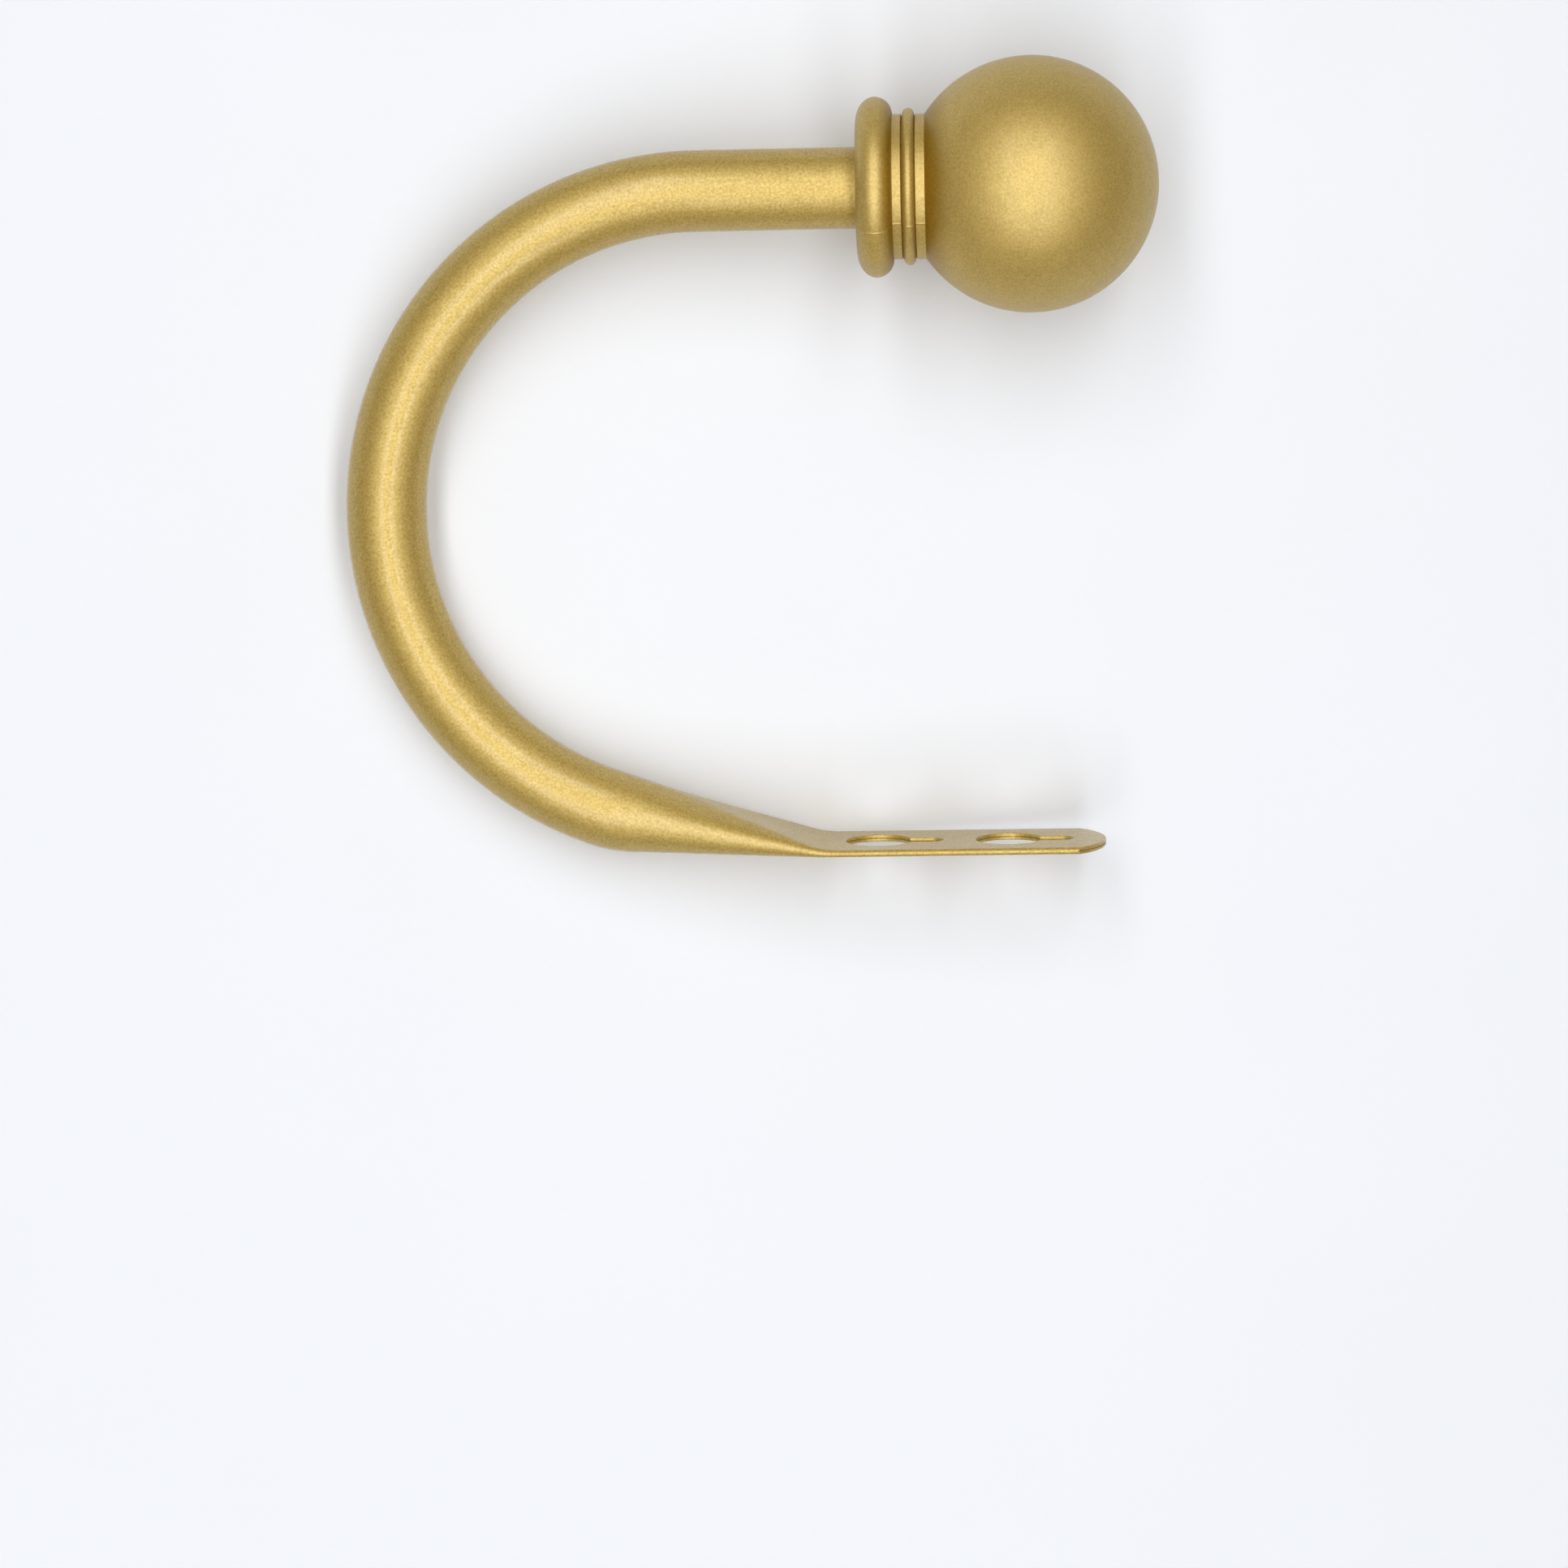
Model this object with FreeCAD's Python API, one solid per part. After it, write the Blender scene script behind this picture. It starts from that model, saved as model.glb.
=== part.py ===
"""Curtain holdback: a steel tube bent into a U, pressed flat at one end into a keyhole tab, with a ball finial.

Frame, in millimetres. The wall is the plane y = 0, the room lies towards -Y, and +Z is up. The U lies in the
plane z = 0 with its mouth towards -X. The origin is midway between the two keyholes, on the wall face.
"""

import FreeCAD
import Part
import math
import os

Vector = FreeCAD.Vector
UP = Vector(0, 0, 1)

# Tube
tube_diameter = 16.0
tube_wall = 0.7

# Bend: one arc from the pressed end round to the straight front leg, which lies parallel with the wall
bend_radius = 63.0
front_leg = 31.9  # straight tube from the bend to the face of the finial's collar

# Pressed end: the tube runs straight into the fold, and its wall side is pressed up to meet the room side
fold_angle = 20.0  # degrees between the tube and the tab
fold_radius = 18.0
heel_gap = 1.5  # from the wall to the outside of the tube where the bend ends
pinch_gap = 0.1  # left between the two walls where the bore closes

# Tab: the two walls of the tube, pressed together
fold_margin = 11.2  # from the fold to the nearer keyhole
tip_margin = 9.0  # from the farther slot's end centre to the tip of the tab
tip_crown = 5.6  # how far the curved tip stands out past its corners

# Keyholes: a round entry for the screw's head, then a slot towards the tip for its shank
keyhole_pitch = 26.0
keyhole_diameter = 13.2
slot_width = 4.7
slot_travel = 10.4

# Finial: one moulding with a collar, two plain bands, a bead between them and a ball, pushed onto the tube
collar_height = 9.6  # above the tube
collar_crest = 3.7  # from the collar's face to its widest circle
collar_shoulder = 4.9  # how far the face side rounds over, measured across the axis
neck_height = 6.15  # of the two bands, above the tube
near_band = 1.75
bead_width = 2.8
bead_height = 1.15  # above the bands
far_band = 1.85
groove = 0.25  # width and depth of the lines cut beside the bead
ball_diameter = 50.0
socket_depth = 18.0
socket_clearance = 0.05

# Worked out from the sizes above
tube_radius = tube_diameter / 2
tab_thickness = 2 * tube_wall
tab_flat = math.pi * (tube_diameter - tab_thickness) / 2
tab_width = tab_flat + tab_thickness
fold_x = keyhole_pitch / 2 + fold_margin
tip_x = -(keyhole_pitch / 2 + slot_travel + tip_margin)
fold = math.radians(fold_angle)
bend_inside = bend_radius - tube_radius
bend_outside = bend_radius + tube_radius
bend_y = -(bend_outside * math.cos(fold) + heel_gap)
press_run = (-bend_y - bend_inside * math.cos(fold) - tab_thickness) / math.tan(fold)
bend_x = fold_x + press_run - bend_inside * math.sin(fold)
bend_centre = Vector(bend_x, bend_y, 0)
bend_end = Vector(math.sin(fold), math.cos(fold), 0)  # from the bend's centre to where the pressed end starts
press_axis = Vector(-math.cos(fold), math.sin(fold), 0)
leg_y = bend_y - bend_radius
collar_x = bend_x - front_leg
tube_end = Vector(collar_x - socket_depth, leg_y, 0)


def arc_through(first, middle, last):
    """Edge of the circular arc through three points."""
    return Part.Arc(first, middle, last).toShape()


def lines_through(*points):
    """Edges of the straight lines from each point to the next."""
    return [Part.makeLine(first, last) for first, last in zip(points, points[1:])]


def quarter_round(start, corner, end):
    """Edge of the quarter of an ellipse that leaves start and reaches end along the lines to corner."""
    reach = 4 * (math.sqrt(2) - 1) / 3
    curve = Part.BezierCurve()
    curve.setPoles([start, start + (corner - start) * reach, end + (corner - end) * reach, end])
    return curve.toShape()


def round_section(centre, across, radius):
    """Circle as four arcs, with two short ones where the flats of the pressed sections begin."""
    opening = math.radians(3)
    depth = across * (radius * math.cos(opening))
    side = UP * (radius * math.sin(opening))
    corners = [centre - depth + side, centre - depth - side, centre + depth - side, centre + depth + side]
    middles = [centre - across * radius, centre - UP * radius, centre + across * radius, centre + UP * radius]
    ends = corners[1:] + corners[:1]
    return Part.Wire([arc_through(*points) for points in zip(corners, middles, ends)])


def flat_section(room_point, wall_point, inset=0.0):
    """Pressed tube: two flats joined by half circles, as far round as the round tube, set in by inset."""
    pressed = wall_point - room_point
    side = UP * (math.pi * (tube_diameter - pressed.Length) / 4)
    step = pressed * (inset / pressed.Length)
    room = room_point + step
    wall = wall_point - step
    middle = (room + wall) / 2
    bulge = side + UP * ((wall - room).Length / 2)
    return Part.Wire([
        Part.makeLine(room + side, room - side),
        arc_through(room - side, middle - bulge, wall - side),
        Part.makeLine(wall - side, wall + side),
        arc_through(wall + side, middle + bulge, room + side),
    ])


def curve_between(start, corner, end, share):
    """Point at this share of the smooth curve that leaves start and reaches end along the lines to corner."""
    rest = 1 - share
    return start * rest ** 2 + corner * (2 * rest * share) + end * share ** 2


def press_stretches():
    """Pairs of points on the room side and the wall side of the pressed end, stretch by stretch from the bend.

    The heel curves the wall side down to the wall, the wedge is straight and the bow curves the room side into
    the tab.
    """
    room_start = bend_centre + bend_end * bend_inside
    wall_start = bend_centre + bend_end * bend_outside
    heel_run = heel_gap / math.sin(fold)
    heel_corner = wall_start + press_axis * heel_run
    heel_foot = heel_corner - Vector(heel_run, 0, 0)
    heel = []
    for share in (1 / 3, 2 / 3, 1):
        wall = curve_between(wall_start, heel_corner, heel_foot, share)
        heel.append((room_start + press_axis * (wall - wall_start).dot(press_axis), wall))
    bow_run = fold_radius * math.tan(fold / 2)
    bow_corner = Vector(fold_x, -tab_thickness, 0)
    bow_start = bow_corner - press_axis * bow_run
    bow_foot = bow_corner - Vector(bow_run, 0, 0)
    bow = []
    for share in (0, 1 / 2, 1):
        room = curve_between(bow_start, bow_corner, bow_foot, share)
        bow.append((room, Vector(room.x, 0, 0)))
    wedge = [heel[-1], bow[0]]
    return heel, wedge, bow


def pressed_solid(inset, thinnest):
    """Solid inside the pressed end's skin, set in by inset, as far as the pressing leaves this thickness."""
    heel, wedge, bow = press_stretches()
    first = round_section(bend_centre + bend_end * bend_radius, bend_end, tube_radius - inset)
    lofts = []
    for lead, pairs, straight in (([first], heel, False), ([], wedge, True), ([], bow, False)):
        sections = [flat_section(*pair, inset) for pair in pairs if (pair[1] - pair[0]).Length >= thinnest]
        lofts.append(Part.makeLoft(lead + sections, True, straight))
    return lofts[0].fuse(lofts[1:])


def pressed_end():
    """Hollow stretch that turns from the round tube into the flat tab."""
    return pressed_solid(0, 0).cut(pressed_solid(tube_wall, tab_thickness + pinch_gap))


def bent_tube():
    """Round stretch of the tube: the front leg, as far as the floor of the finial's socket, and the bend."""
    axis = Vector(1, 0, 0)
    disc = Part.Face(Part.Wire(Part.makeCircle(tube_radius, tube_end, axis)))
    bore = Part.Face(Part.Wire(Part.makeCircle(tube_radius - tube_wall, tube_end, axis)))
    ring = disc.cut(bore).Faces[0]
    leg_run = Vector(bend_x - tube_end.x, 0, 0)
    leg = ring.extrude(leg_run)
    bend = ring.translated(leg_run).revolve(bend_centre, UP, 180 - fold_angle)
    return leg.fuse(bend)


def keyhole(entry_x):
    """Cutter for one keyhole whose round entry is centred at this x."""
    through = Vector(0, -3 * tab_thickness, 0)
    entry = Vector(entry_x, tab_thickness, 0)
    end = entry - Vector(slot_travel, 0, 0)
    half = UP * (slot_width / 2)
    head = Part.Face(Part.Wire(Part.makeCircle(keyhole_diameter / 2, entry, through)))
    slot = Part.Face(Part.Wire([
        arc_through(end + half, end - Vector(slot_width / 2, 0, 0), end - half),
        *lines_through(end - half, entry - half, entry + half, end + half),
    ]))
    return head.extrude(through).fuse(slot.extrude(through))


def tab():
    """Flat tab with its curved tip and its keyholes."""
    room, wall = press_stretches()[-1][-1]
    blank = Part.Face(flat_section(room, wall)).extrude(Vector(tip_x - room.x, 0, 0))
    half = UP * (tab_width / 2)
    corner = Vector(tip_x + tip_crown, tab_thickness, 0)
    root = Vector(room.x, tab_thickness, 0)
    outline = Part.Face(Part.Wire([
        arc_through(corner + half, Vector(tip_x, tab_thickness, 0), corner - half),
        *lines_through(corner - half, root - half, root + half, corner + half),
    ]))
    plate = blank.common(outline.extrude(Vector(0, -3 * tab_thickness, 0)))
    return plate.cut([keyhole(-keyhole_pitch / 2), keyhole(keyhole_pitch / 2)])


def arm():
    """The whole bent tube, one piece from the finial's socket to the tip of the tab."""
    return bent_tube().fuse([pressed_end(), tab()]).removeSplitter()


def finial():
    """Ball finial, turned about the front leg's axis and seated with its socket's floor on the tube's end."""
    collar_radius = tube_radius + collar_height
    neck_radius = tube_radius + neck_height
    shoulder_foot = collar_radius - collar_shoulder
    collar_end = collar_crest + collar_radius - neck_radius
    bead_start = collar_end + near_band
    bead_end = bead_start + bead_width
    ball_start = bead_end + far_band
    ball_radius = ball_diameter / 2
    ball_middle = ball_start + math.sqrt(ball_radius ** 2 - neck_radius ** 2)
    bore = tube_radius + socket_clearance

    def at(along, out):
        """Point of the half section, this far along from the collar's face and this far out from the axis."""
        return Vector(collar_x - along, leg_y - out, 0)

    face = at(0, shoulder_foot)
    crest = at(collar_crest, collar_radius)
    neck = at(collar_end, neck_radius)
    near_line = [at(bead_start, neck_radius), at(bead_start + groove / 2, neck_radius - groove)]
    far_line = [at(bead_end - groove / 2, neck_radius - groove), at(bead_end, neck_radius)]
    bead_near = at(bead_start + groove, neck_radius)
    bead_top = at((bead_start + bead_end) / 2, neck_radius + bead_height)
    bead_far = at(bead_end - groove, neck_radius)
    ball_foot = at(ball_start, neck_radius)
    top = at(ball_middle + ball_radius, 0)
    section = Part.Wire([
        *lines_through(top, at(socket_depth, 0), at(socket_depth, bore), at(0, bore), face),
        quarter_round(face, at(0, collar_radius), crest),
        quarter_round(crest, at(collar_end, collar_radius), neck),
        *lines_through(neck, *near_line, bead_near),
        arc_through(bead_near, bead_top, bead_far),
        *lines_through(bead_far, *far_line, ball_foot),
        arc_through(ball_foot, at(ball_middle, ball_radius), top),
    ])
    return Part.Face(section).revolve(top, Vector(1, 0, 0), 360)


def main():
    """Write one solid a piece."""
    os.makedirs("parts", exist_ok=True)
    arm().exportStep("parts/arm.step")
    finial().exportStep("parts/finial.step")


main()
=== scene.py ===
"""Curtain holdback: a bent steel tube in satin gold paint, pressed flat into a keyhole tab, with a ball finial.

The classes hold their sizes in millimetres, in the part's own frame: the wall is the plane y = 0, the room
lies towards -Y and +Z is up. Meshes are made in metres.
"""

import logging
import math
from collections.abc import Sequence
from dataclasses import dataclass, field
from enum import Enum

import bmesh
import bpy
import numpy as np
from mathutils import Matrix, Vector


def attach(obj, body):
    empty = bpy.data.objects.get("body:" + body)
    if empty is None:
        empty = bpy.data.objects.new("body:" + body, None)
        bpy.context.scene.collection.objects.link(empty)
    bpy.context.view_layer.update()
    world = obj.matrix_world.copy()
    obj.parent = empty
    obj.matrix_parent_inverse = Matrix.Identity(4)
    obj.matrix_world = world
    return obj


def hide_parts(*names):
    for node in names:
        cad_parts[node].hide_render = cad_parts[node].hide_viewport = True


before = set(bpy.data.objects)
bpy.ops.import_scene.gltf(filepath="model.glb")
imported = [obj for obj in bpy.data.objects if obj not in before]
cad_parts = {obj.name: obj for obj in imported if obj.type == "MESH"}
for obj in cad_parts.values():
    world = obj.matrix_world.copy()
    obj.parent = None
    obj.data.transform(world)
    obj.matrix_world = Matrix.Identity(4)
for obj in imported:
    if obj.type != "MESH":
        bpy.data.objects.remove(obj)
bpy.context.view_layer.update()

LOG = logging.getLogger("holdback")
MM = 0.001
NOISE_MIDDLE = 0.5
NOISE_FALLOFF = 0.55
WELD_GAP = 0.002
Colour = tuple[float, float, float]
Settings = dict[str, object]
Sockets = dict[str | int, object]
Station = tuple[np.ndarray, np.ndarray]


class Side(Enum):
    """The two sides of the camera, by their direction along its own x."""

    LEFT = -1
    RIGHT = 1


class Shade:
    """One output of a shader node. Python's arithmetic on it adds the nodes that work the sum out."""

    def __init__(self, tree: "FinishTree", socket: bpy.types.NodeSocket) -> None:
        """Keep the output and the tree that it belongs to."""
        self.tree = tree
        self.socket = socket

    def sum(self, operation: str, *values: "Shade | float") -> "Shade":
        """Add one Math node.

        Args:
            operation: Name of the node's operation.
            values: What goes into its sockets, in order.

        Returns:
            The node's result.
        """
        return self.tree.node("ShaderNodeMath", {"operation": operation}, dict(enumerate(values)))

    def __add__(self, other: "Shade | float") -> "Shade":
        """Self plus other."""
        return self.sum("ADD", self, other)

    __radd__ = __add__

    def __sub__(self, other: "Shade | float") -> "Shade":
        """Self less other."""
        return self.sum("SUBTRACT", self, other)

    def __rsub__(self, other: float) -> "Shade":
        """Other less self."""
        return self.sum("SUBTRACT", other, self)

    def __mul__(self, other: "Shade | float") -> "Shade":
        """Self times other."""
        return self.sum("MULTIPLY", self, other)

    __rmul__ = __mul__

    def __pow__(self, power: float) -> "Shade":
        """Self to a power."""
        return self.sum("POWER", self, power)

    def at_least(self, least: "Shade | float") -> "Shade":
        """The larger of self and least."""
        return self.sum("MAXIMUM", self, least)

    def step(self, low: float, high: float) -> "Shade":
        """Smooth step from 0 at low to 1 at high, or the other way round where high is the lower.

        Args:
            low: Value at which the step is 0.
            high: Value at which the step is 1.

        Returns:
            The step, from 0 to 1.
        """
        settings = {"interpolation_type": "SMOOTHSTEP", "clamp": True}
        sockets = {"Value": self, "From Min": low, "From Max": high, "To Min": 0.0, "To Max": 1.0}
        return self.tree.node("ShaderNodeMapRange", settings, sockets)


class FinishTree:
    """Node tree of one material, or of the surround."""

    def __init__(self, owner: bpy.types.Material | bpy.types.World) -> None:
        """Start the tree with only its own shader.

        Args:
            owner: The new material or world.
        """
        self.owner = owner
        owner.use_nodes = True

    def fill(self, node: bpy.types.Node, sockets: Sockets) -> None:
        """Set a node's inputs.

        Args:
            node: The node.
            sockets: Values or links, by the input's name or number.
        """
        for key, value in sockets.items():
            if isinstance(value, Shade):
                self.owner.node_tree.links.new(value.socket, node.inputs[key])
            else:
                node.inputs[key].default_value = value

    def node(self, kind: str, settings: Settings | None = None, sockets: Sockets | None = None,
             output: str | int = 0) -> Shade:
        """Add one node.

        Args:
            kind: Blender's name for the node's type.
            settings: The node's own settings, which are set first.
            sockets: Values or links for its inputs, by name or number.
            output: Which of its outputs to give back.

        Returns:
            That output.
        """
        made = self.owner.node_tree.nodes.new(kind)
        for name, value in (settings or {}).items():
            setattr(made, name, value)
        self.fill(made, sockets or {})
        return Shade(self, made.outputs[output])

    def place(self) -> Shade:
        """Point on the surface, in metres in the part's frame."""
        return self.node("ShaderNodeTexCoord", output="Object")

    def axes(self, vector: Shade) -> tuple[Shade, Shade, Shade]:
        """Split a vector.

        Args:
            vector: The vector.

        Returns:
            Its x, y and z.
        """
        split = self.node("ShaderNodeSeparateXYZ", sockets={0: vector})
        return tuple(Shade(self, output) for output in split.socket.node.outputs)

    def vector(self, x: Shade | float, y: Shade | float, z: Shade | float) -> Shade:
        """Vector with these three parts."""
        return self.node("ShaderNodeCombineXYZ", sockets={0: x, 1: y, 2: z})

    def noise(self, place: Shade, grain: float, detail: float = 1.0) -> Shade:
        """Soft noise.

        Args:
            place: Where on the surface.
            grain: Size of its lumps in millimetres.
            detail: How many finer layers it has.

        Returns:
            Values about 0.5.
        """
        sockets = {"Vector": place, "Scale": 1 / (grain * MM), "Detail": detail, "Roughness": NOISE_FALLOFF}
        return self.node("ShaderNodeTexNoise", {"noise_dimensions": "3D"}, sockets)

    def ripple(self, place: Shade, grain: float, detail: float = 1.0) -> Shade:
        """The same noise with its values about 0."""
        return self.noise(place, grain, detail) - NOISE_MIDDLE

    def mix(self, share: Shade | float, first: Shade | Colour, second: Shade | Colour,
            blend: str = "MIX") -> Shade:
        """Mix two colours.

        Args:
            share: How much of the second, from 0 to 1.
            first: The colour at 0.
            second: The colour at 1.
            blend: How the second goes onto the first.

        Returns:
            The mixed colour.
        """
        settings = {"data_type": "RGBA", "blend_type": blend, "clamp_factor": True}
        colours = [(*shade, 1.0) if isinstance(shade, tuple) else shade for shade in (first, second)]
        return self.node("ShaderNodeMix", settings, {0: share, 6: colours[0], 7: colours[1]}, 2)

    def scaled(self, colour: Shade | Colour, amount: Shade) -> Shade:
        """Colour made lighter or darker by an amount about 1."""
        return self.mix(1.0, colour, self.vector(amount, amount, amount), "MULTIPLY")

    def surface(self, sockets: Sockets) -> bpy.types.Material:
        """Finish the material's principled shader.

        Args:
            sockets: Values or links for the shader's inputs.

        Returns:
            The material.
        """
        shader = self.owner.node_tree.nodes["Principled BSDF"]
        shader.distribution = "GGX"
        self.fill(shader, sockets)
        return self.owner


@dataclass(frozen=True)
class GoldPaint:
    """Satin gold paint: fine brass flakes in a clear binder, on the moulded finial, with painted shade in its
    corners.
    """

    name: str = "finial_gold"
    tint: Colour = (0.935, 0.702, 0.33)
    metallic: float = 1.0
    roughness: float = 0.612
    flake: float = 0.46
    flake_share: float = 0.22
    flake_lean: Colour = (1.0, 1.35, 2.4)
    flake_gloss: float = 0.02
    flake_rise: float = 0.6
    mottle: float = 2.6
    mottle_share: float = 0.07
    mottle_gloss: float = 0.06
    cloud: float = 9.0
    cloud_share: float = 0.05
    peel: float = 0.5
    peel_height: float = 0.004
    coat: float = 1.0
    coat_roughness: float = 0.35
    coat_ior: float = 1.3
    coat_tint: Colour = (0.839, 0.821, 0.587)
    edge_tint: Colour = (0.03, 0.03, 0.03)
    # Painted shade in the corners: its tint, the short rim past each corner, and each corner with the end of
    # its fade, in millimetres along the axis.
    corner_shade_tint: Colour = (0.66, 0.56, 0.16)
    corner_shade_rim: float = 0.08
    shaded_corners: tuple[tuple[float, float], ...] = ((1.52, -4.2), (7.92, 10.8))

    def marks(self, tree: FinishTree, place: Shade) -> tuple[Shade | float, Shade | float]:
        """Marks that only this surface has.

        Args:
            tree: The material's tree.
            place: Where on the surface.

        Returns:
            How much lighter the marks make the paint, about 1, and how far they stand out, in millimetres.
        """
        return 1 + tree.ripple(place, self.cloud) * self.cloud_share, 0.0

    def with_corner_shade(self, tree: FinishTree, place: Shade, colour: Shade) -> Shade:
        """Darken the paint towards the corners with painted shade.

        Args:
            tree: The material's tree.
            place: Where on the surface.
            colour: The paint's colour elsewhere.

        Returns:
            The colour, with the painted shade darkest at each corner and gone from the end of its fade on.
        """
        # Each pair is a corner and the end of the painted shade that fades out from it.
        for corner, end in self.shaded_corners:
            x = tree.axes(place)[0]
            rim = corner + math.copysign(self.corner_shade_rim, corner - end)
            # How much painted shade falls here, from 0 to 1.
            depth = x.step(end * MM, corner * MM) * x.step(rim * MM, corner * MM)
            colour = tree.mix(depth, colour, self.corner_shade_tint, "MULTIPLY")
        return colour

    def flakes(self) -> tuple[Colour, Colour]:
        """The deepest and the palest of the paint's flakes."""
        spans = [self.flake_share * lean for lean in self.flake_lean]
        deep = tuple(part * (1 - span) for part, span in zip(self.tint, spans))
        pale = tuple(part * (1 + span) for part, span in zip(self.tint, spans))
        return deep, pale

    def material(self) -> bpy.types.Material:
        """Make the paint's material."""
        tree = FinishTree(bpy.data.materials.new(self.name))
        place = tree.place()
        flake = tree.noise(place, self.flake)
        mottle = tree.ripple(place, self.mottle, 2.0)
        peel = tree.noise(place, self.peel) + self.flake_rise * flake
        light, height = self.marks(tree, place)
        shade = (1 + mottle * (2 * self.mottle_share)) * light
        rough = self.roughness - (flake - NOISE_MIDDLE) * self.flake_gloss - mottle * self.mottle_gloss
        rise = peel * (self.peel_height * MM) + height * MM
        colour = tree.scaled(tree.mix(flake, *self.flakes()), shade)
        normal = tree.node("ShaderNodeBump", sockets={"Strength": 1.0, "Distance": 1.0, "Height": rise})
        return tree.surface({
            # Base colour with painted shade in the corners.
            "Base Color": self.with_corner_shade(tree, place, colour),
            "Metallic": self.metallic,
            "Specular IOR Level": 0.0,
            "Roughness": rough,
            "Normal": normal,
            "Coat Weight": self.coat,
            "Coat Roughness": self.coat_roughness,
            "Coat IOR": self.coat_ior,
            "Coat Tint": (*self.coat_tint, 1.0),
            "Specular Tint": (*self.edge_tint, 1.0),
        })


@dataclass(frozen=True)
class TubePaint(GoldPaint):
    """The same paint over drawn steel tube: coarser, with the tube's drawing lines and a few specks of dust."""

    name: str = "tube_gold"
    flake: float = 0.5
    flake_share: float = 0.3
    peel_height: float = 0.006
    coat_roughness: float = 0.16
    shaded_corners: tuple[tuple[float, float], ...] = ()
    bend_x: float = 47.0
    bend_y: float = -68.0
    line_pitch: float = 0.9
    line_stretch: float = 0.004
    line_share: float = 0.1
    line_height: float = 0.012
    collar_x: float = 15.0
    dusty_run: float = 11.0
    dusty_side: float = -30.0
    speck_pitch: float = 1.3
    speck_rim: float = 0.16
    speck_core: float = 0.07
    speck_patch: float = 2.3
    patch_edge: float = 0.52
    patch_core: float = 0.6
    speck_share: float = 0.35
    speck_height: float = 0.02

    def marks(self, tree: FinishTree, place: Shade) -> tuple[Shade, Shade]:
        """Drawing lines along the tube, and specks of dust under the paint near the collar.

        Args:
            tree: The material's tree.
            place: Where on the surface.

        Returns:
            How much lighter the marks make the paint, about 1, and how far they stand out, in millimetres.
        """
        x, y, z = tree.axes(place)
        past = (x - self.bend_x * MM).at_least(0.0)
        beside = y - self.bend_y * MM
        out = (past * past + beside * beside) ** 0.5
        lines = tree.ripple(tree.vector(out, z, self.line_stretch * past), self.line_pitch, 2.0)
        pitch = {"Vector": place, "Scale": 1 / (self.speck_pitch * MM)}
        dust = tree.node("ShaderNodeTexVoronoi", sockets=pitch)
        near = x.step((self.collar_x + self.dusty_run) * MM, self.collar_x * MM)
        front = beside.step(0.0, self.dusty_side * MM)
        patch = tree.noise(place, self.speck_patch).step(self.patch_edge, self.patch_core)
        speck = dust.step(self.speck_rim, self.speck_core) * near * front * patch
        light = (1 + lines * self.line_share) * (1 - speck * self.speck_share)
        return light, lines * self.line_height + speck * self.speck_height


@dataclass(frozen=True)
class PaleSweep:
    """Matt white paper of the studio floor, shown paler to the camera far from the holdback."""

    name: str = "pale_sweep"
    tint: Colour = (0.9, 0.9, 0.89)
    roughness: float = 0.9
    specular: float = 0.1
    tooth: float = 1.4
    tooth_share: float = 0.01
    tooth_gloss: float = 0.1
    cloud: float = 60.0
    cloud_share: float = 0.02
    far_glow: float = 0.6
    far_start: float = 300.0
    far_end: float = 850.0

    def material(self) -> bpy.types.Material:
        """Make the paper's material."""
        tree = FinishTree(bpy.data.materials.new(self.name))
        place = tree.place()
        tooth = tree.ripple(place, self.tooth, 2.0)
        cloud = tree.ripple(place, self.cloud)
        x, y, _ = tree.axes(place)
        far = ((x * x + y * y) ** 0.5).step(self.far_start * MM, self.far_end * MM)
        seen = tree.node("ShaderNodeLightPath", output="Is Camera Ray")
        return tree.surface({
            "Base Color": tree.scaled(self.tint, 1 + tooth * self.tooth_share + cloud * self.cloud_share),
            "Roughness": self.roughness + tooth * self.tooth_gloss,
            "Specular IOR Level": self.specular,
            "Emission Color": tree.scaled(self.tint, far * seen * self.far_glow),
            "Emission Strength": 1.0,
        })


def bands(rings: int, count: int) -> list[list[int]]:
    """Four-sided faces between rings of points.

    Args:
        rings: How many rings there are.
        count: How many points each has.

    Returns:
        The faces, as numbers of their points.
    """
    index = np.arange(rings * count).reshape(rings, count)
    here = index[:-1]
    ahead = index[1:]
    corners = [here, ahead, np.roll(ahead, -1, 1), np.roll(here, -1, 1)]
    return np.stack(corners, 2).reshape(-1, 4).tolist()


def outward(name: str, points: np.ndarray, faces: Sequence[Sequence[int]]) -> bpy.types.Mesh:
    """Closed mesh with all its faces turned outwards.

    Args:
        name: Name of the mesh.
        points: Its vertices, in millimetres.
        faces: Its faces, as numbers of their vertices.

    Returns:
        The mesh, in metres.
    """
    mesh = bpy.data.meshes.new(name)
    mesh.from_pydata((points * MM).tolist(), [], faces)
    work = bmesh.new()
    work.from_mesh(mesh)
    bmesh.ops.recalc_face_normals(work, faces=work.faces)
    work.to_mesh(mesh)
    work.free()
    return mesh


def skin(name: str, rings: Sequence[np.ndarray]) -> bpy.types.Mesh:
    """Closed mesh through rings of points, with a flat cap at each end.

    Args:
        name: Name of the mesh.
        rings: Rings of the same number of points, in millimetres.

    Returns:
        The mesh, in metres.
    """
    count = len(rings[0])
    points = np.concatenate(rings)
    first_cap = list(range(count))
    last_cap = list(range(len(points) - count, len(points)))
    return outward(name, points, [*bands(len(rings), count), first_cap, last_cap[::-1]])


def piece_of(mesh: bpy.types.Mesh) -> bpy.types.Object:
    """Put a mesh into the scene under its own name."""
    made = bpy.data.objects.new(mesh.name, mesh)
    bpy.context.scene.collection.objects.link(made)
    return made


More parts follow.
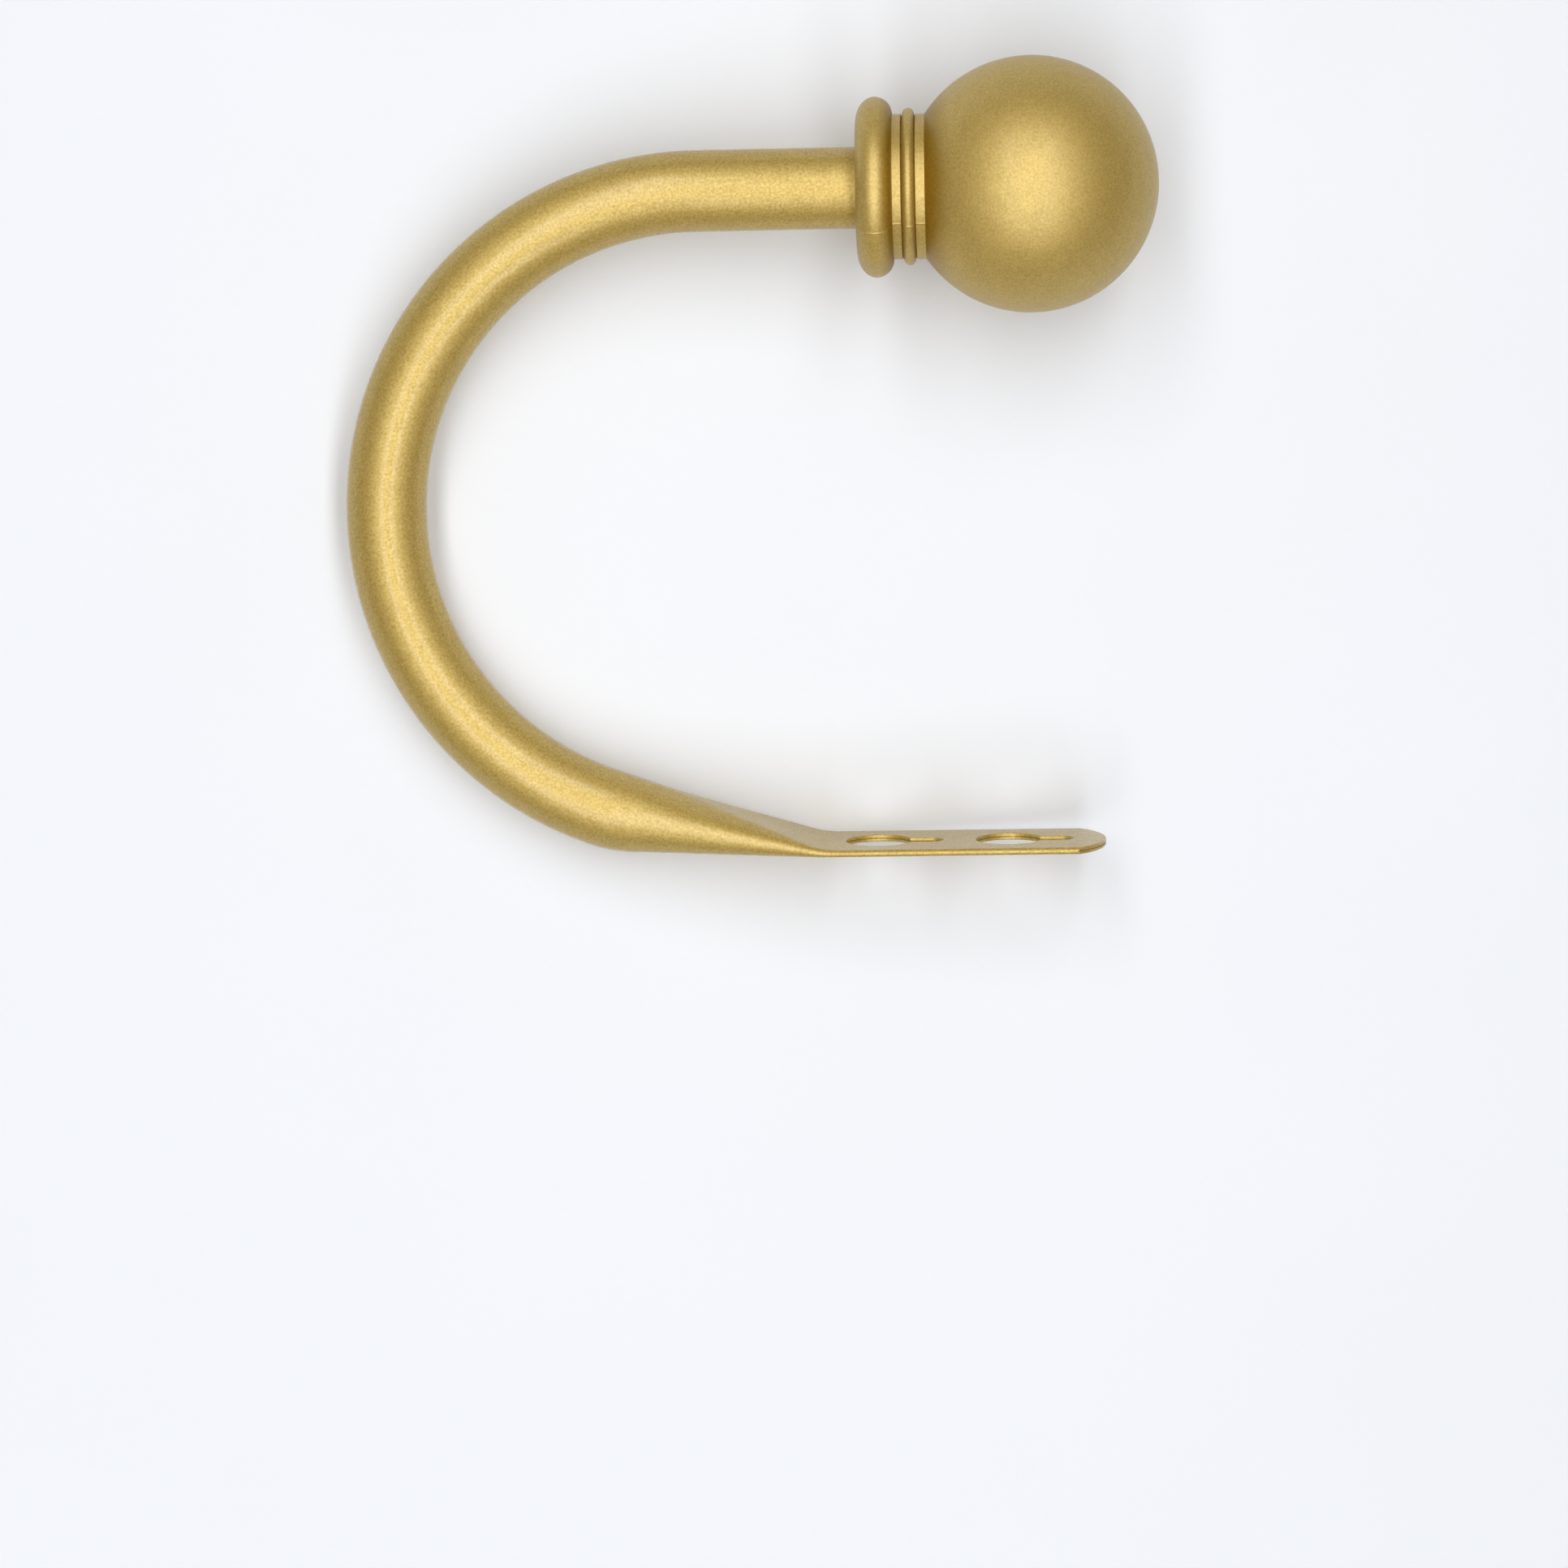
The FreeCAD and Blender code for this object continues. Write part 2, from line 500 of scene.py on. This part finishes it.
def settle(piece: bpy.types.Object) -> None:
    """Turn a piece's modifiers into its mesh."""
    graph = bpy.context.evaluated_depsgraph_get()
    before = piece.data
    after = bpy.data.meshes.new_from_object(piece.evaluated_get(graph))
    piece.modifiers.clear()
    piece.data = after
    after.name = before.name
    bpy.data.meshes.remove(before)


def weld(mesh: bpy.types.Mesh) -> None:
    """Join points of a mesh that lie together, so that no face is left without an area."""
    work = bmesh.new()
    work.from_mesh(mesh)
    bmesh.ops.remove_doubles(work, verts=work.verts, dist=WELD_GAP * MM)
    work.to_mesh(mesh)
    work.free()


def carve(piece: bpy.types.Object, cutters: Sequence[bpy.types.Mesh]) -> None:
    """Cut shapes out of a piece.

    Args:
        piece: What is cut.
        cutters: Closed meshes to take away, which are dropped afterwards.
    """
    for cutter in cutters:
        tool = piece_of(cutter)
        cut = piece.modifiers.new(cutter.name, "BOOLEAN")
        cut.operation = "DIFFERENCE"
        cut.solver = "EXACT"
        cut.object = tool
        settle(piece)
        bpy.data.objects.remove(tool)
        bpy.data.meshes.remove(cutter)
    weld(piece.data)


def smooth(piece: bpy.types.Object, crease: float) -> None:
    """Shade a piece smooth, with creases at its sharper edges and its broad faces kept flat.

    Args:
        piece: What is shaded.
        crease: Edges that turn by more than this many degrees stay sharp.
    """
    piece.data.shade_smooth()
    piece.data.set_sharp_from_angle(angle=math.radians(crease))
    weigh = piece.modifiers.new("broad_faces", "WEIGHTED_NORMAL")
    weigh.keep_sharp = True
    settle(piece)


def dress(piece: bpy.types.Object, node: str, material: bpy.types.Material) -> None:
    """Give a piece its finish and tie it to the part.

    Args:
        piece: The finished piece.
        node: The node that it stands for.
        material: Its finish.
    """
    piece.data.materials.clear()
    piece.data.materials.append(material)
    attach(piece, "root")
    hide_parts(node)
    LOG.info("%s: %d faces", piece.name, len(piece.data.polygons))


def unit(angle: float) -> np.ndarray:
    """Unit vector in the plane z = 0, turned by this many degrees from +Y towards +X."""
    return np.array([math.sin(math.radians(angle)), math.cos(math.radians(angle))])


def curve_between(start: np.ndarray, corner: np.ndarray, end: np.ndarray, share: float) -> np.ndarray:
    """Point at a share of the smooth curve that leaves start and reaches end along the lines to corner.

    Args:
        start: First point.
        corner: Where the lines through the two ends meet.
        end: Last point.
        share: How far along, from 0 to 1.

    Returns:
        The point.
    """
    rest = 1 - share
    return start * rest ** 2 + corner * (2 * rest * share) + end * share ** 2


@dataclass
class Arm:
    """The bent tube, in one piece from the finial's socket round to the tip of the tab."""

    tube_diameter: float = 16.0
    tube_wall: float = 0.7
    bend_radius: float = 63.0
    front_leg: float = 31.9
    socket_depth: float = 18.0
    end_gap: float = 0.02
    fold_angle: float = 20.0
    fold_radius: float = 18.0
    heel_gap: float = 1.5
    fold_margin: float = 11.2
    tip_margin: float = 9.0
    tip_crown: float = 5.6
    keyhole_pitch: float = 26.0
    keyhole_diameter: float = 13.2
    slot_width: float = 4.7
    slot_travel: float = 10.4
    oval_share: float = 0.85
    ridge_growth: float = 2.0
    ridge_crispness: float = 0.7
    cut_edge: float = 0.26
    rim_turns: tuple[float, ...] = (12, 30, 50, 70, 90)
    seam_width: float = 0.13
    seam_floor: float = 0.3
    seam_depth: float = 0.22
    cutter_rise: float = 0.5
    cutter_flare: float = 0.3
    cutter_side: float = 1.5
    blank_past: float = 3.0
    cutter_past: float = 6.0
    side_span: float = 2.2
    face_steps: int = 23
    side_steps: int = 27
    leg_steps: int = 20
    bend_steps: int = 141
    heel_steps: int = 13
    wedge_steps: int = 33
    bow_steps: int = 17
    tab_steps: int = 30
    head_steps: int = 97
    slot_steps: int = 14
    slot_end_steps: int = 33
    tip_steps: int = 81
    crease: float = 38.0
    paint: TubePaint = field(default_factory=TubePaint)

    def __post_init__(self) -> None:
        """Work out the places that follow from the sizes."""
        radius = self.tube_diameter / 2
        fold = math.radians(self.fold_angle)
        self.inside = self.bend_radius - radius
        self.outside = self.bend_radius + radius
        self.thickness = 2 * self.tube_wall
        self.tab_width = math.pi * (self.tube_diameter - self.thickness) / 2 + self.thickness
        self.fold_x = self.keyhole_pitch / 2 + self.fold_margin
        self.tip_x = -(self.keyhole_pitch / 2 + self.slot_travel + self.tip_margin)
        bend_y = -(self.outside * math.cos(fold) + self.heel_gap)
        press_run = (-bend_y - self.inside * math.cos(fold) - self.thickness) / math.tan(fold)
        self.bend_centre = np.array([self.fold_x + press_run - self.inside * math.sin(fold), bend_y])
        self.press_axis = np.array([-math.cos(fold), math.sin(fold)])
        self.leg_y = bend_y - self.bend_radius
        self.collar_x = self.bend_centre[0] - self.front_leg
        quarter = math.pi * self.tube_diameter / 4
        self.half_round = np.concatenate([
            np.linspace(0, quarter - self.side_span, self.face_steps)[:-1],
            np.linspace(quarter - self.side_span, quarter + self.side_span, self.side_steps),
            np.linspace(quarter + self.side_span, 2 * quarter, self.face_steps)[1:],
        ])

    def round_stations(self) -> list[Station]:
        """Points on the inner and outer side of the round tube, from the socket to the end of the bend."""
        start = self.collar_x - self.socket_depth + self.end_gap
        across = np.array([0.0, self.tube_diameter / 2])
        pairs = []
        for x in np.linspace(start, self.bend_centre[0], self.leg_steps)[:-1]:
            middle = np.array([x, self.leg_y])
            pairs.append((middle + across, middle - across))
        for angle in np.linspace(180, self.fold_angle, self.bend_steps):
            out = unit(angle)
            pairs.append((self.bend_centre + out * self.inside, self.bend_centre + out * self.outside))
        return pairs

    def pressed_stations(self) -> list[Station]:
        """Points on the room side and wall side of the pressed end, from the bend to past the tip of the tab.

        Returns:
            Pairs along the heel, which curves down to the wall, the straight wedge, the bow and the flat tab.
        """
        fold = math.radians(self.fold_angle)
        end = unit(self.fold_angle)
        room_start = self.bend_centre + end * self.inside
        wall_start = self.bend_centre + end * self.outside
        run = self.heel_gap / math.sin(fold)
        heel_corner = wall_start + self.press_axis * run
        heel_foot = heel_corner - np.array([run, 0])
        pairs = []
        for share in np.linspace(0, 1, self.heel_steps)[1:]:
            wall = curve_between(wall_start, heel_corner, heel_foot, share)
            pairs.append((room_start + self.press_axis * ((wall - wall_start) @ self.press_axis), wall))
        bow_run = self.fold_radius * math.tan(fold / 2)
        corner = np.array([self.fold_x, -self.thickness])
        bow_start = corner - self.press_axis * bow_run
        bow_foot = corner - np.array([bow_run, 0])
        heel_end = pairs[-1]
        for share in np.linspace(0, 1, self.wedge_steps)[1:-1]:
            room = heel_end[0] * (1 - share) + bow_start * share
            wall = heel_end[1] * (1 - share) + np.array([bow_start[0], 0]) * share
            pairs.append((room, wall))
        for share in np.linspace(0, 1, self.bow_steps):
            room = curve_between(bow_start, corner, bow_foot, share)
            pairs.append((room, np.array([room[0], 0])))
        for x in np.linspace(bow_foot[0], self.tip_x - self.blank_past, self.tab_steps)[1:]:
            pairs.append((np.array([x, -self.thickness]), np.array([x, 0])))
        return pairs

    def ring(self, inner: np.ndarray, outer: np.ndarray) -> np.ndarray:
        """Section of the tube: two flats joined by half circles, as far round as the round tube.

        Where the tube is only partly pressed, the flat on the inside of the bend is narrower, with oval sides.
        The ridges beside it get crisper towards the tab.

        Args:
            inner: Middle of the flat on the inside of the bend.
            outer: Middle of the other flat.

        Returns:
            Points round the section.
        """
        across = outer - inner
        thick = np.linalg.norm(across)
        flat = math.pi * (self.tube_diameter - thick) / 4
        along = self.half_round
        turn = np.clip((along - flat) / (thick / 2), 0, math.pi)
        reach = np.where(turn < math.pi, along, along[-1] - along)
        side = np.where((turn > 0) & (turn < math.pi), flat + thick / 2 * np.sin(turn), reach)
        share = max(0.0, (thick - self.thickness) / (self.tube_diameter - self.thickness))
        oval = min(share / self.oval_share, 1)
        ridge = flat * (1 - oval ** self.ridge_growth)
        past = np.clip((side - ridge) / (flat + thick / 2 - ridge), 0, 1)
        power = 2 - self.ridge_crispness * (1 - oval)
        rise = np.where(turn < math.pi / 2, np.sqrt(1 - past ** power), np.cos(turn))
        place = (inner + outer) / 2 - np.outer(rise / 2, across)
        lower = np.column_stack([place, -side])
        upper = np.column_stack([place, side])[-2:0:-1]
        return np.concatenate([lower, upper])

    def cut_levels(self) -> list[tuple[float, float]]:
        """Profile of a cut edge through the tab.

        Returns:
            Pairs of y and how far the cut stands back there, with softened rims and the seam between the walls.
        """
        edge = self.cut_edge
        turns = np.radians(self.rim_turns)
        rim = [(edge - edge * math.cos(turn), edge - edge * math.sin(turn)) for turn in turns]
        middle = self.thickness / 2
        seam_floor = middle - self.seam_width * self.seam_floor
        seam = [(middle - self.seam_width, 0.0), (seam_floor, self.seam_depth)]
        half = [(-self.cutter_rise, edge + self.cutter_flare), *rim, *seam]
        levels = half + [(self.thickness - depth, back) for depth, back in reversed(half)]
        return [(-depth, back) for depth, back in levels]

    def keyhole(self, entry_x: float) -> bpy.types.Mesh:
        """Cutter for one keyhole.

        Args:
            entry_x: Where its round entry is centred.

        Returns:
            The cutter.
        """
        end = self.slot_travel
        ends = np.linspace(0, math.pi, self.slot_end_steps)
        rings = []
        for y, back in self.cut_levels():
            head = self.keyhole_diameter / 2 + back
            half = self.slot_width / 2 + back
            opening = math.asin(half / head)
            turns = np.linspace(opening, 2 * math.pi - opening, self.head_steps)
            runs = np.linspace(head * math.cos(opening), end, self.slot_steps)[1:-1]
            flank = np.full(len(runs), half)
            back_x = np.concatenate([head * np.cos(turns), runs, end + half * np.sin(ends), runs[::-1]])
            z = np.concatenate([head * np.sin(turns), -flank, -half * np.cos(ends), flank])
            rings.append(np.column_stack([entry_x - back_x, np.full(len(z), y), z]))
        return skin("keyhole_cut", rings)

    def tip(self) -> bpy.types.Mesh:
        """Cutter for the curved tip of the tab."""
        half = self.tab_width / 2
        radius = (half ** 2 + self.tip_crown ** 2) / (2 * self.tip_crown)
        side = half + self.cutter_side
        reach = math.asin(side / radius)
        turns = np.linspace(-reach, reach, self.tip_steps)
        outer_x = np.full(2, self.tip_x - self.cutter_past)
        outer_z = np.array([side, -side])
        rings = []
        for y, back in self.cut_levels():
            x = np.concatenate([self.tip_x + radius - (radius - back) * np.cos(turns), outer_x])
            z = np.concatenate([(radius - back) * np.sin(turns), outer_z])
            rings.append(np.column_stack([x, np.full(len(x), y), z]))
        return skin("tip_cut", rings)

    def build(self) -> bpy.types.Object:
        """Make the tube, cut its tab and dress it."""
        pairs = self.round_stations() + self.pressed_stations()
        piece = piece_of(skin("bent_tube", [self.ring(*pair) for pair in pairs]))
        half_pitch = self.keyhole_pitch / 2
        carve(piece, [self.keyhole(-half_pitch), self.keyhole(half_pitch), self.tip()])
        smooth(piece, self.crease)
        dress(piece, "arm", self.paint.material())
        return piece


@dataclass
class Finial:
    """The moulded ball finial, turned about the front leg's axis."""

    collar_x: float
    leg_y: float
    tube_radius: float
    socket_depth: float
    collar_height: float = 9.6
    collar_crest: float = 3.7
    collar_shoulder: float = 4.9
    neck_height: float = 6.15
    near_band: float = 1.75
    bead_width: float = 2.8
    bead_height: float = 1.15
    far_band: float = 1.85
    groove: float = 0.25
    groove_depth: float = 0.45
    groove_rim: float = 0.06
    ball_diameter: float = 50.0
    socket_clearance: float = 0.05
    lip_width: float = 0.3
    lip_depth: float = 0.2
    mould_angle: float = 29.0
    mould_height: float = 0.09
    mould_width: float = 0.38
    mould_fade: float = 7.0
    mould_turns: tuple[float, ...] = (0.2, 0.4, 0.57, 0.9, 1.4)
    mould_clear: float = 1.9
    trim_depth: float = 0.07
    trim_angle: float = 11.0
    turn_step: float = 1.8
    ball_steps: int = 96
    bead_steps: int = 25
    round_steps: int = 21
    crease: float = 42.0
    paint: GoldPaint = field(default_factory=GoldPaint)

    def __post_init__(self) -> None:
        """Work out the places along the axis that follow from the sizes."""
        self.collar_radius = self.tube_radius + self.collar_height
        self.neck_radius = self.tube_radius + self.neck_height
        self.ball_radius = self.ball_diameter / 2
        self.bore_radius = self.tube_radius + self.socket_clearance
        self.collar_end = self.collar_crest + self.collar_radius - self.neck_radius
        self.bead_start = self.collar_end + self.near_band
        self.bead_end = self.bead_start + self.bead_width
        self.ball_start = self.bead_end + self.far_band
        self.ball_middle = self.ball_start + math.sqrt(self.ball_radius ** 2 - self.neck_radius ** 2)

    def bead(self) -> np.ndarray:
        """Points over the bead, from its ball side, on the circle through its feet and its top."""
        half = self.bead_width / 2 - self.groove
        radius = (half ** 2 + self.bead_height ** 2) / (2 * self.bead_height)
        reach = math.asin(half / radius)
        if self.bead_height > half:
            reach = math.pi - reach
        turns = np.linspace(reach, -reach, self.bead_steps)
        middle = (self.bead_start + self.bead_end) / 2
        foot = self.neck_radius + self.bead_height - radius
        return np.column_stack([middle + radius * np.sin(turns), foot + radius * np.cos(turns)])

    def profile(self) -> np.ndarray:
        """Half section from the ball's pole to the middle of the socket's floor.

        Returns:
            Pairs of the distance along from the collar's face and the distance out from the axis.
        """
        foot = math.pi - math.asin(self.neck_radius / self.ball_radius)
        turns = np.linspace(0, foot, self.ball_steps)
        ball = np.column_stack([
            self.ball_middle + self.ball_radius * np.cos(turns),
            self.ball_radius * np.sin(turns),
        ])
        quarter = np.linspace(0, math.pi / 2, self.round_steps)
        round_over = self.collar_radius - self.neck_radius
        collar_back = np.column_stack([
            self.collar_crest + round_over * np.cos(quarter),
            self.neck_radius + round_over * np.sin(quarter),
        ])
        collar_face = np.column_stack([
            self.collar_crest * (1 - np.sin(quarter)),
            self.collar_radius - self.collar_shoulder * (1 - np.cos(quarter)),
        ])
        neck = self.neck_radius
        rim = self.groove_rim
        line = self.groove / 2
        deep = neck - self.groove_depth
        far_line = [(self.bead_end + rim, neck), (self.bead_end, neck - rim), (self.bead_end - line, deep)]
        near_line = [
            (self.bead_start + line, deep), (self.bead_start, neck - rim), (self.bead_start - rim, neck),
        ]
        bore = self.bore_radius
        lip = [(0.0, bore + self.lip_width), (self.lip_depth / 4, bore + self.lip_width / 2)]
        socket = [(self.lip_depth, bore), (self.socket_depth, bore), (self.socket_depth, 0.0)]
        neck_side = [far_line, self.bead(), near_line]
        return np.concatenate([ball, *neck_side, collar_back, collar_face[1:], lip, socket])

    def past_mould(self, turns: np.ndarray) -> np.ndarray:
        """Degrees from the nearer of the two mould lines, which lie opposite each other, to each angle."""
        return (turns - self.mould_angle + 90) % 180 - 90

    def turns(self) -> np.ndarray:
        """Angles round the axis, in degrees from +Z towards +Y, closer together at the two mould lines."""
        even = np.arange(0, 360, self.turn_step)
        half = np.array(self.mould_turns)
        fine = self.mould_angle + np.concatenate([-half[::-1], [0.0], half])
        clear = np.abs(self.past_mould(even)) > self.mould_clear
        return np.sort(np.concatenate([even[clear], fine, fine + 180]) % 360)

    def mould_rise(self, turns: np.ndarray, along: float, out: float) -> np.ndarray:
        """Rise of the mould line, and the shallow flat trimmed beside it.

        Args:
            turns: Angles round the axis, in degrees.
            along: Distance along from the collar's face.
            out: Distance out from the axis.

        Returns:
            How far the surface stands out beyond the turned form, at each angle.
        """
        share = np.clip(1 - (along - self.ball_start) / self.mould_fade, 0, 1)
        past = self.past_mould(turns)
        arc = np.radians(np.abs(past)) * out
        ridge = 0.5 + 0.5 * np.cos(math.pi * np.clip(arc / (self.mould_width / 2), 0, 1))
        trim = np.clip(past, 0, None) / self.trim_angle
        return share * (self.mould_height * ridge - self.trim_depth * trim * np.exp(1 - trim))

    def build(self) -> bpy.types.Object:
        """Turn the finial's half section, raise its mould lines and dress it."""
        profile = self.profile()
        turns = self.turns()
        sines = np.sin(np.radians(turns))
        cosines = np.cos(np.radians(turns))
        rings = []
        for along, out in profile[1:-1]:
            shown = out > self.bore_radius + self.lip_width or along > self.ball_start
            reach = out + (self.mould_rise(turns, along, out) if shown else 0.0)
            x = np.full(len(turns), self.collar_x - along)
            rings.append(np.column_stack([x, self.leg_y + reach * sines, reach * cosines]))
        count = len(turns)
        pole = len(rings) * count
        first = np.arange(count)
        last = first + pole - count
        faces = bands(len(rings), count)
        faces += [[pole, here, ahead] for here, ahead in zip(first, np.roll(first, -1))]
        faces += [[pole + 1, ahead, here] for here, ahead in zip(last, np.roll(last, -1))]
        poles = np.array([[self.collar_x - along, self.leg_y, 0.0] for along in profile[[0, -1], 0]])
        piece = piece_of(outward("ball_finial", np.concatenate([*rings, poles]), faces))
        smooth(piece, self.crease)
        dress(piece, "finial", self.paint.material())
        return piece


@dataclass(frozen=True)
class Studio:
    """The floor that the holdback lies on, the light round the camera, and the camera."""

    pivot: tuple[float, float, float] = (40.0, -78.0, 0.0)
    tilt: float = 0.15345
    swing: float = -0.05
    roll: float = 0.01419
    camera_offset: tuple[float, float, float] = (9.49767, -64.04414, 894.07201)
    image_width: int = 1932
    scale: float = 6.21456
    sensor_width: float = 36.0
    clip_near: float = 10.0
    clip_far: float = 50000.0
    floor_radius: float = 4000.0
    floor_rings: tuple[float, ...] = (0.05, 0.2, 0.5, 1.0)
    floor_step: float = 5.0
    settling_rounds: int = 12
    light_spread: float = 255.0
    light_width: float = 230.0
    light_height: float = 2000.0
    light_shift: float = -5.0
    light_lift: float = -120.0
    light_power: float = 6.4
    light_tint: Colour = (0.98, 1.01, 1.08)
    surround: Colour = (0.22, 0.22, 0.22)
    gloss_surround: Colour = (0.24, 0.18, 0.06)
    sweep: PaleSweep = field(default_factory=PaleSweep)

    def stance(self) -> Matrix:
        """The camera's turn, from its own axes to the part's."""
        turn = (Matrix.Rotation(self.roll, 3, "Z") @ Matrix.Rotation(self.swing, 3, "Y")
                @ Matrix.Rotation(self.tilt, 3, "X") @ Matrix.Rotation(math.pi, 3, "Z"))
        return turn.transposed()

    def beside_camera(self, offset: tuple[float, float, float]) -> Matrix:
        """Where something stands that faces as the camera does.

        Args:
            offset: How far from the camera, along its own axes.

        Returns:
            Its place and turn, in metres.
        """
        turn = self.stance()
        place = Vector(self.pivot) + turn @ (Vector(self.camera_offset) + Vector(offset))
        return Matrix.Translation(place * MM) @ turn.to_4x4()

    def resting_plane(self, supports: Sequence[np.ndarray]) -> tuple[np.ndarray, np.ndarray]:
        """Plane that touches three supports from below.

        Args:
            supports: Points of each support, in metres.

        Returns:
            A point of the plane, and its unit normal.
        """
        normal = np.array([0.0, 0.0, 1.0])
        for _ in range(self.settling_rounds):
            feet = [points[np.argmin(points @ normal)] for points in supports]
            normal = np.cross(feet[1] - feet[0], feet[2] - feet[0])
            normal *= math.copysign(1, normal[2]) / np.linalg.norm(normal)
        return feet[0], normal

    def lay_floor(self, supports: Sequence[np.ndarray]) -> None:
        """Lay the floor under the holdback.

        Args:
            supports: Points of the three places on which it rests, in metres.
        """
        foot, normal = self.resting_plane(supports)
        turns = np.radians(np.arange(0, 360, self.floor_step))
        circle = np.column_stack([np.cos(turns), np.sin(turns), np.zeros(len(turns))])
        points = np.concatenate([circle * self.floor_radius * MM * ring for ring in self.floor_rings])
        middle = list(range(len(turns)))
        mesh = bpy.data.meshes.new("studio_floor")
        mesh.from_pydata(points.tolist(), [], [middle, *bands(len(self.floor_rings), len(turns))])
        mesh.materials.append(self.sweep.material())
        floor = piece_of(mesh)
        level = Vector(normal).to_track_quat("Z", "Y").to_matrix().to_4x4()
        floor.matrix_world = Matrix.Translation(Vector(foot)) @ level
        slopes = -normal[:2] / normal[2]
        LOG.info("floor: rises %.4f along x and %.4f along y", *slopes)

    def light(self) -> None:
        """Hang a tall soft light on each side of the camera, and set the surround, warmer in reflections."""
        for side in Side:
            lamp = bpy.data.lights.new(f"soft_light_{side.name.lower()}", "AREA")
            lamp.shape = "RECTANGLE"
            lamp.size = self.light_width * MM
            lamp.size_y = self.light_height * MM
            lamp.energy = self.light_power
            lamp.color = self.light_tint
            hung = bpy.data.objects.new(lamp.name, lamp)
            bpy.context.scene.collection.objects.link(hung)
            aside = self.light_shift + side.value * self.light_spread
            hung.matrix_world = self.beside_camera((aside, self.light_lift, 0.0))
            hung.visible_camera = False
        world = bpy.data.worlds.new("surround")
        tree = FinishTree(world)
        gloss = tree.node("ShaderNodeLightPath", output="Is Glossy Ray")
        shades = tree.mix(gloss, self.surround, self.gloss_surround)
        tree.fill(world.node_tree.nodes["Background"], {"Color": shades})
        bpy.context.scene.world = world

    def stand_camera(self) -> None:
        """Stand the camera where the photograph was taken from."""
        camera = bpy.data.cameras.new("camera")
        camera.sensor_width = self.sensor_width
        camera.lens = self.scale * self.camera_offset[2] / self.image_width * self.sensor_width
        camera.clip_start = self.clip_near * MM
        camera.clip_end = self.clip_far * MM
        stood = bpy.data.objects.new("camera", camera)
        bpy.context.scene.collection.objects.link(stood)
        stood.matrix_world = self.beside_camera((0.0, 0.0, 0.0))
        bpy.context.scene.camera = stood
        bpy.context.scene.view_settings.view_transform = "Standard"


def points_of(piece: bpy.types.Object) -> np.ndarray:
    """Every vertex of a piece, in metres."""
    flat = np.empty(len(piece.data.vertices) * 3, np.float32)
    piece.data.vertices.foreach_get("co", flat)
    return flat.reshape(-1, 3).astype(float)


def main() -> None:
    """Build the holdback and the studio round it."""
    logging.basicConfig(level=logging.INFO, format="%(name)s: %(message)s")
    arm = Arm()
    tube = arm.build()
    finial = Finial(arm.collar_x, arm.leg_y, arm.tube_diameter / 2, arm.socket_depth)
    ball = finial.build()
    tube_points = points_of(tube)
    tab_points = tube_points[tube_points[:, 1] > -2 * arm.thickness * MM]
    bend_points = tube_points[tube_points[:, 0] > arm.bend_centre[0] * MM]
    studio = Studio()
    studio.stand_camera()
    studio.light()
    studio.lay_floor([points_of(ball), tab_points, bend_points])


if __name__ == "__main__":
    main()
